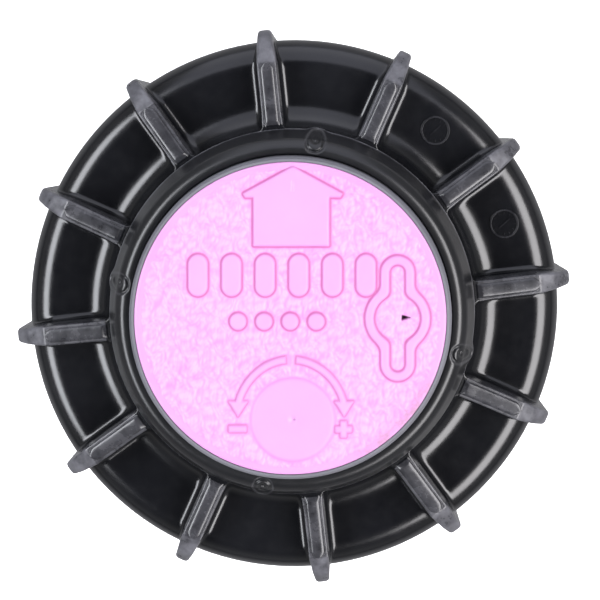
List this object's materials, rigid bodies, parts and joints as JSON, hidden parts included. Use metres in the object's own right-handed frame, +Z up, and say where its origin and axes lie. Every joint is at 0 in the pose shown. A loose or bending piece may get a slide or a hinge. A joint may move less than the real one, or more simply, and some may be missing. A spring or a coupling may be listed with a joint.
{
  "type": "pop up sprinkler",
  "caption": "Pop-up rotor sprinkler with a ribbed screw cap, spring-retracted riser, gear-driven nozzle turret and a rubber cover.",
  "frame": {"origin": "centre of the threaded inlet's bottom face", "axes": "+Z up along the riser axis, +Y the way the nozzle and the arrow on the cover point at rest"},
  "size_m": [0.0566, 0.0566, 0.1784],
  "materials": {
    "black_plastic": "satin moulded",
    "cap_plastic": "satin moulded",
    "dark_plastic": "moulded",
    "natural_acetal": "moulded",
    "grey_plastic": "moulded",
    "nozzle_plastic": "moulded",
    "spring_steel": "drawn wire",
    "cast_zinc": "plain",
    "seal_rubber": "matte",
    "cover_rubber": "pebbled"
  },
  "bodies": {
    "body": {"body_case": "black_plastic", "body_cap": "cap_plastic", "cap_gasket": "seal_rubber", "wiper_seal": "seal_rubber", "seal_retainer": "natural_acetal", "retraction_spring": "spring_steel"},
    "riser": {"riser_tube": "black_plastic", "ratchet_ring": "natural_acetal", "filter_screen": "natural_acetal", "drain_check_seal": "seal_rubber", "stator": "natural_acetal", "stator_cage": "natural_acetal", "bypass_spring": "spring_steel", "gear_case_base": "dark_plastic", "gear_case_lid": "dark_plastic", "layshaft": "spring_steel", "toggle_spring": "spring_steel", "stem_bushing": "natural_acetal", "stem_o_ring": "seal_rubber"},
    "bypass": {"bypass_poppet": "natural_acetal"},
    "turbine_rotor": {"turbine": "natural_acetal", "turbine_shaft": "spring_steel"},
    "compound_gear_1": {"gear_1": "natural_acetal"},
    "compound_gear_2": {"gear_2": "natural_acetal"},
    "compound_gear_3": {"gear_3": "natural_acetal"},
    "compound_gear_4": {"gear_4": "natural_acetal"},
    "compound_gear_5": {"gear_5": "natural_acetal"},
    "compound_gear_6": {"gear_6": "natural_acetal"},
    "compound_gear_7": {"gear_7": "natural_acetal"},
    "carriage": {"reversing_carriage": "cast_zinc"},
    "forward_idler_gear": {"forward_idler": "natural_acetal"},
    "reverse_inner_gear": {"reverse_idler_inner": "natural_acetal"},
    "reverse_outer_gear": {"reverse_idler_outer": "natural_acetal"},
    "lever": {"trip_lever": "cast_zinc"},
    "turret": {"nozzle_turret": "black_plastic", "turret_bezel": "grey_plastic", "nozzle": "nozzle_plastic", "rubber_cover": "cover_rubber", "drive_stem": "dark_plastic", "thrust_washer": "natural_acetal"},
    "trip_ring": {"arc_ring": "natural_acetal"},
    "setting_shaft": {"arc_adjuster": "grey_plastic"},
    "throw_screw": {"radius_screw": "spring_steel"}
  },
  "joints": [
    {"name": "riser_lift", "type": "slide", "parent": "body", "child": "riser", "axis": [0, 0, 1], "range_m": [0, 0.1], "stiffness_N_per_m": 120, "springref_m": -0.12, "deforming": ["retraction_spring"]},
    {"name": "bypass_lift", "type": "slide", "parent": "riser", "child": "bypass", "axis": [0, 0, 1], "range_m": [0, 0.002], "stiffness_N_per_m": 400, "springref_m": -0.001, "deforming": ["bypass_spring"]},
    {"name": "turbine_spin", "type": "hinge", "parent": "riser", "child": "turbine_rotor", "pos_m": [0, 0, 0.0742], "axis": [0, 0, 1], "continuous": true},
    {"name": "gear_1_spin", "type": "hinge", "parent": "riser", "child": "compound_gear_1", "pos_m": [0.00543, 0, 0.082], "axis": [0, 0, 1], "continuous": true},
    {"name": "gear_2_spin", "type": "hinge", "parent": "riser", "child": "compound_gear_2", "pos_m": [0, 0, 0.0843], "axis": [0, 0, 1], "continuous": true},
    {"name": "gear_3_spin", "type": "hinge", "parent": "riser", "child": "compound_gear_3", "pos_m": [0.00543, 0, 0.0866], "axis": [0, 0, 1], "continuous": true},
    {"name": "gear_4_spin", "type": "hinge", "parent": "riser", "child": "compound_gear_4", "pos_m": [0, 0, 0.0889], "axis": [0, 0, 1], "continuous": true},
    {"name": "gear_5_spin", "type": "hinge", "parent": "riser", "child": "compound_gear_5", "pos_m": [0.00543, 0, 0.0912], "axis": [0, 0, 1], "continuous": true},
    {"name": "gear_6_spin", "type": "hinge", "parent": "riser", "child": "compound_gear_6", "pos_m": [0, 0, 0.0935], "axis": [0, 0, 1], "continuous": true},
    {"name": "gear_7_spin", "type": "hinge", "parent": "riser", "child": "compound_gear_7", "pos_m": [0.00543, 0, 0.0958], "axis": [0, 0, 1], "continuous": true},
    {"name": "carriage_swing", "type": "hinge", "parent": "riser", "child": "carriage", "pos_m": [0.00543, 0, 0.1013], "axis": [0, 0, 1], "range_deg": [0, 14]},
    {"name": "forward_idler_spin", "type": "hinge", "parent": "carriage", "child": "forward_idler_gear", "pos_m": [0.00473, 0.00404, 0.1026], "axis": [0, 0, 1], "continuous": true},
    {"name": "reverse_inner_spin", "type": "hinge", "parent": "carriage", "child": "reverse_inner_gear", "pos_m": [0.00389, -0.0038, 0.1026], "axis": [0, 0, 1], "continuous": true},
    {"name": "reverse_outer_spin", "type": "hinge", "parent": "carriage", "child": "reverse_outer_gear", "pos_m": [0.00056, -0.00489, 0.1026], "axis": [0, 0, 1], "continuous": true},
    {"name": "lever_trip", "type": "hinge", "parent": "riser", "child": "lever", "pos_m": [0.0109, 0, 0.1013], "axis": [0, 0, 1], "range_deg": [-33, 0]},
    {"name": "turret_turn", "type": "hinge", "parent": "riser", "child": "turret", "pos_m": [0, 0, 0.152], "axis": [0, 0, 1], "range_deg": [-180, 180]},
    {"name": "arc_setting", "type": "hinge", "parent": "turret", "child": "setting_shaft", "pos_m": [0, -0.01015, 0.152], "axis": [0, 0, 1], "range_deg": [0, 1536]},
    {"name": "arc_ring_turn", "type": "hinge", "parent": "turret", "child": "trip_ring", "pos_m": [0, 0, 0.1533], "axis": [0, 0, 1], "range_deg": [-320, 0]},
    {"name": "throw_setting", "type": "slide", "parent": "turret", "child": "throw_screw", "axis": [0, 0, -1], "range_m": [0, 0.0035]}
  ],
  "couplings": [
    {"joint": "gear_1_spin", "follows": "turbine_spin", "ratio": -0.40909},
    {"joint": "gear_2_spin", "follows": "turbine_spin", "ratio": 0.16736},
    {"joint": "gear_3_spin", "follows": "turbine_spin", "ratio": -0.068464},
    {"joint": "gear_4_spin", "follows": "turbine_spin", "ratio": 0.028008},
    {"joint": "gear_5_spin", "follows": "turbine_spin", "ratio": -0.011458},
    {"joint": "gear_6_spin", "follows": "turbine_spin", "ratio": 0.0046873},
    {"joint": "gear_7_spin", "follows": "turbine_spin", "ratio": -0.0019175},
    {"joint": "forward_idler_spin", "follows": "turbine_spin", "ratio": 0.0017258},
    {"joint": "reverse_inner_spin", "follows": "turbine_spin", "ratio": 0.0017258},
    {"joint": "reverse_outer_spin", "follows": "turbine_spin", "ratio": -0.0017258},
    {"joint": "lever_trip", "follows": "carriage_swing", "ratio": -2.3097},
    {"joint": "arc_ring_turn", "follows": "arc_setting", "ratio": -0.20833}
  ]
}
